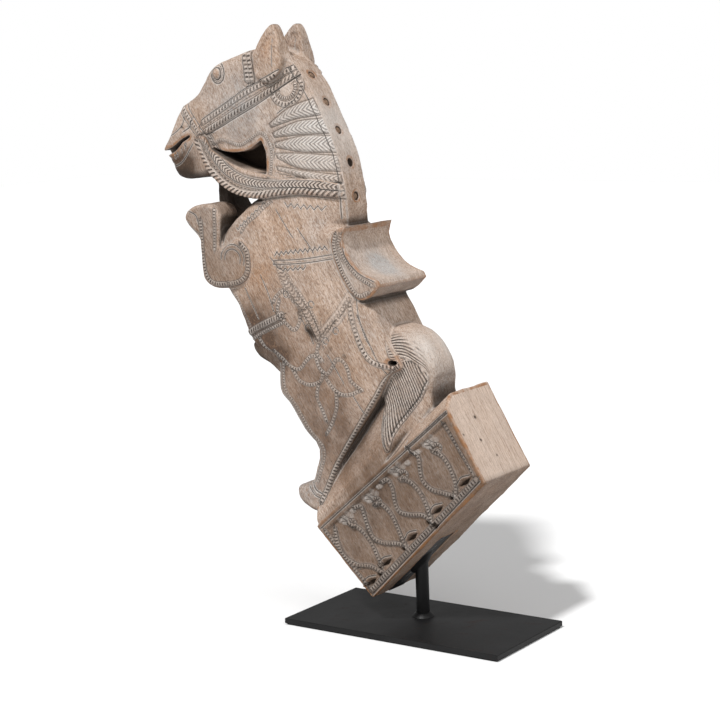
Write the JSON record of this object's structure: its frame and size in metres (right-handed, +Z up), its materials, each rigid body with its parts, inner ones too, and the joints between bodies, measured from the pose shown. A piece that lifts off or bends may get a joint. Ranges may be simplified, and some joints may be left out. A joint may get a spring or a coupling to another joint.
{
  "type": "carved wooden horse strut on a stand",
  "caption": "Weathered carved horse rearing from a tilted plinth block, with bridle, saddle and looped tail, held from below by a steel rod on a flat rectangular base plate.",
  "frame": {"origin": "centre of the rectangular base on the surface that it stands on", "axes": "+Z up; +X along the base plate's long side, away from the way the horse faces, so the horse faces -X; +Y along the plate's short side"},
  "size_m": [0.483, 0.14, 0.669],
  "materials": {
    "carved_teak": "weathered, rough, with traces of limewash in the carving",
    "peg_wood": "dark, rough",
    "black_steel": "satin black with faint rust",
    "screw_steel": "dull",
    "black_felt": "matte"
  },
  "bodies": {
    "root": {"horse_carving": "carved_teak", "mane_peg_1": "peg_wood", "mane_peg_2": "peg_wood", "mane_peg_3": "peg_wood", "mane_peg_5": "peg_wood", "base_plate": "black_steel", "upright_rod": "black_steel", "foot_weld": "black_steel", "strap_weld": "black_steel", "mounting_strap": "black_steel", "strap_screw_1": "screw_steel", "strap_screw_2": "screw_steel", "strap_screw_3": "screw_steel", "strap_screw_4": "screw_steel", "base_felt": "black_felt"}
  },
  "joints": []
}
